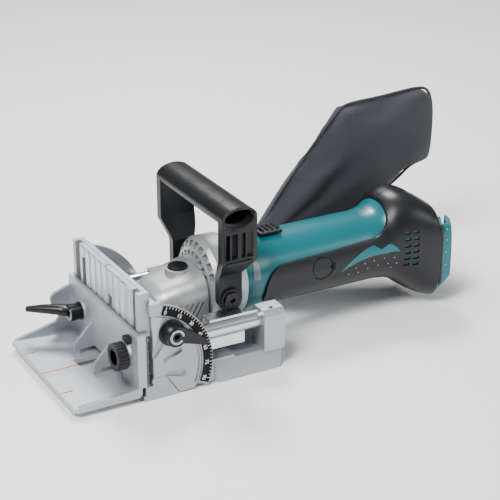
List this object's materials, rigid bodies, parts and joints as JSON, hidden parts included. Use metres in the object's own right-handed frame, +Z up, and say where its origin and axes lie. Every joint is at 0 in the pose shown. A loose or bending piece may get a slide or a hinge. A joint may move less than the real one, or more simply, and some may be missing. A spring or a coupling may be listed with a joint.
{
  "type": "biscuit joiner",
  "caption": "Cordless biscuit joiner with a plunging motor unit, tilting fence with a height-set angle guide, D-handle, slide switch and a fabric dust bag.",
  "frame": {"origin": "on the underside of the sole, straight below the blade spindle with the motor unit at rest", "axes": "+X to the rear (battery end), +Y to the right of a person behind the tool, +Z up"},
  "size_m": [0.4265, 0.1708, 0.1679],
  "materials": {
    "cast_aluminium": "satin",
    "machined_aluminium": "satin",
    "bright_steel": "satin",
    "dark_steel": "satin",
    "black_plastic": "matte",
    "soft_grip": "matte",
    "teal_plastic": "satin",
    "scale_label": "satin",
    "copper_winding": "satin",
    "bag_fabric": "matte"
  },
  "bodies": {
    "base": {"base_casting": "cast_aluminium", "sole_plate": "machined_aluminium", "sole_screw_front_left": "dark_steel", "sole_screw_rear_left": "dark_steel", "sole_screw_front_right": "dark_steel", "sole_screw_rear_right": "dark_steel", "slide_tube_left": "machined_aluminium", "slide_tube_right": "machined_aluminium", "side_plate_left": "cast_aluminium", "side_plate_right": "cast_aluminium", "hinge_pin_left": "bright_steel", "hinge_pin_right": "bright_steel", "return_spring_left": "bright_steel", "return_spring_right": "bright_steel", "dust_nozzle": "black_plastic", "dust_bag": "bag_fabric"},
    "turret": {"depth_turret": "dark_steel"},
    "fence": {"fence_plate": "cast_aluminium", "fence_facing": "machined_aluminium", "angle_band_left": "cast_aluminium", "angle_band_right": "cast_aluminium", "angle_scale": "scale_label", "height_rack": "bright_steel"},
    "fence_lock": {"fence_lever": "black_plastic"},
    "fence_clamp": {"fence_knob": "black_plastic"},
    "guide": {"angle_guide": "cast_aluminium", "height_scale": "scale_label"},
    "height_knob": {"guide_knob": "black_plastic", "guide_pinion": "bright_steel"},
    "guide_lock": {"guide_lever": "black_plastic"},
    "motor_unit": {"carriage_plate": "cast_aluminium", "gear_housing": "cast_aluminium", "bearing_box": "cast_aluminium", "motor_bell": "cast_aluminium", "housing_left": "teal_plastic", "housing_right": "teal_plastic", "grip_left": "soft_grip", "grip_right": "soft_grip", "brush_cap_left": "black_plastic", "brush_cap_right": "black_plastic", "battery_seat": "teal_plastic", "terminal_block": "black_plastic", "magnet_yoke": "dark_steel", "rear_bearing": "bright_steel", "handle_bolt_left": "dark_steel", "handle_bolt_right": "dark_steel"},
    "switch": {"switch_slider": "black_plastic"},
    "cutter": {"spindle": "bright_steel", "blade": "bright_steel", "lock_nut": "dark_steel", "bevel_gear": "bright_steel"},
    "armature": {"bevel_pinion": "bright_steel", "armature_shaft": "bright_steel", "armature_core": "copper_winding", "commutator": "copper_winding", "fan": "black_plastic"},
    "lock_button": {"shaft_lock": "black_plastic"},
    "handle": {"d_handle": "black_plastic"}
  },
  "joints": [
    {"name": "plunge", "type": "slide", "parent": "base", "child": "motor_unit", "axis": [-1, 0, 0], "range_m": [0, 0.021], "stiffness_N_per_m": 400, "springref_m": -0.01, "deforming": ["return_spring_left", "return_spring_right"]},
    {"name": "fence_tilt", "type": "hinge", "parent": "base", "child": "fence", "pos_m": [-0.0485, 0, 0.025], "axis": [0, -1, 0], "range_deg": [0, 90]},
    {"name": "guide_lift", "type": "slide", "parent": "fence", "child": "guide", "axis": [0, 0, 1], "range_m": [0, 0.044]},
    {"name": "height_knob_turn", "type": "hinge", "parent": "guide", "child": "height_knob", "pos_m": [-0.067, -0.0545, 0.0383], "axis": [-1, 0, 0], "range_deg": [0, 505]},
    {"name": "guide_lock_turn", "type": "hinge", "parent": "guide", "child": "guide_lock", "pos_m": [-0.064, 0.042, 0.0354], "axis": [1, 0, 0], "range_deg": [-15, 75]},
    {"name": "fence_lock_turn", "type": "hinge", "parent": "base", "child": "fence_lock", "pos_m": [-0.02742, -0.074, 0.05625], "axis": [0, -1, 0], "range_deg": [0, 70]},
    {"name": "fence_clamp_turn", "type": "hinge", "parent": "base", "child": "fence_clamp", "pos_m": [-0.02742, 0.074, 0.05625], "axis": [0, 1, 0], "range_deg": [-180, 180]},
    {"name": "depth_turret_turn", "type": "hinge", "parent": "base", "child": "turret", "pos_m": [-0.0383, -0.0385, 0.026], "axis": [1, 0, 0], "continuous": true},
    {"name": "armature_spin", "type": "hinge", "parent": "motor_unit", "child": "armature", "pos_m": [0.09, 0, 0.06], "axis": [1, 0, 0], "continuous": true},
    {"name": "blade_spin", "type": "hinge", "parent": "motor_unit", "child": "cutter", "pos_m": [0, 0, 0.03], "axis": [0, 0, 1], "continuous": true},
    {"name": "switch_slide", "type": "slide", "parent": "motor_unit", "child": "switch", "axis": [-1, 0, 0], "range_m": [0, 0.007]},
    {"name": "shaft_lock_press", "type": "slide", "parent": "motor_unit", "child": "lock_button", "axis": [0, 0, -1], "range_m": [0, 0.003], "stiffness_N_per_m": 300, "springref_m": -0.003},
    {"name": "handle_tilt", "type": "hinge", "parent": "motor_unit", "child": "handle", "pos_m": [0.0385, 0, 0.06], "axis": [0, 1, 0], "range_deg": [-20, 20]}
  ],
  "couplings": [
    {"joint": "guide_lift", "follows": "fence_tilt", "m_per_rad": 0.028011},
    {"joint": "height_knob_turn", "follows": "fence_tilt", "ratio": 5.6022},
    {"joint": "blade_spin", "follows": "armature_spin", "ratio": 0.33333}
  ]
}
